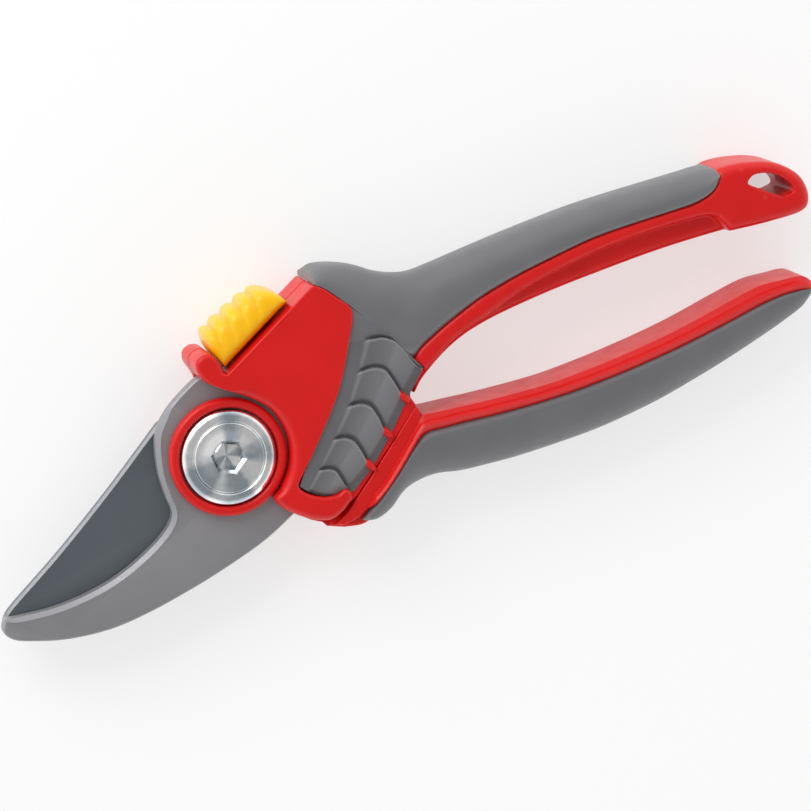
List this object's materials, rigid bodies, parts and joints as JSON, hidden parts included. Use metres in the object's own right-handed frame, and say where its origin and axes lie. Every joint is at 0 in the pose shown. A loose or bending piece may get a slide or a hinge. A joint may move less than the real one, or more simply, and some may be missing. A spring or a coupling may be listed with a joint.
{
  "type": "pruning shears",
  "caption": "Bypass hand pruner with a hooked counter-blade, a curved cutting blade, soft grips, a thumb lock slider and a hanging eye.",
  "frame": {"origin": "on the pivot axis, in the plane the shears lie on: the flat closed end of the pivot nut", "axes": "+X along the closed shears towards the handle ends, +Y towards the handle with the hanging eye, +Z out of the front face"},
  "size_m": [0.2174, 0.0684, 0.0195],
  "materials": {
    "red_nylon": "moulded glass-filled nylon, satin gloss",
    "grey_rubber": "soft overmoulded thermoplastic rubber, fine matt grain",
    "yellow_nylon": "moulded nylon, satin gloss",
    "hook_steel": "bead-blasted steel, satin grey",
    "coated_steel": "non-stick coated blade steel, dark blue-grey",
    "zinc_steel": "bright zinc-plated steel",
    "spring_steel": "drawn spring wire"
  },
  "bodies": {
    "hook_lever": {"hook_jaw": "hook_steel", "upper_core": "red_nylon", "front_cover": "red_nylon", "upper_grip": "grey_rubber", "hook_rivet_1": "zinc_steel", "hook_rivet_2": "zinc_steel", "cover_screw_1": "zinc_steel", "cover_screw_2": "zinc_steel", "cover_screw_3": "zinc_steel", "cover_screw_4": "zinc_steel", "pivot_bolt": "zinc_steel", "pivot_ring": "red_nylon", "pivot_bush": "zinc_steel", "pivot_washer": "zinc_steel", "pivot_nut": "zinc_steel", "stop_pin": "zinc_steel", "lock_detent_spring": "spring_steel"},
    "blade_lever": {"cutting_blade": "coated_steel", "lower_core": "red_nylon", "lower_grip": "grey_rubber", "return_spring": "spring_steel", "blade_rivet_1": "zinc_steel", "blade_rivet_2": "zinc_steel"},
    "lock": {"lock_slider": "yellow_nylon", "lock_latch": "zinc_steel", "lock_latch_pin": "zinc_steel"}
  },
  "joints": [
    {"name": "blade_pivot", "type": "hinge", "parent": "hook_lever", "child": "blade_lever", "pos_m": [0, 0, 0.0084], "axis": [0, 0, -1], "range_deg": [0, 34], "stiffness_Nm_per_rad": 0.2, "springref_deg": 42.97, "deforming": ["return_spring"]},
    {"name": "lock_slide", "type": "slide", "parent": "hook_lever", "child": "lock", "axis": [0.9336, 0.3584, 0], "range_m": [0, 0.006]}
  ]
}
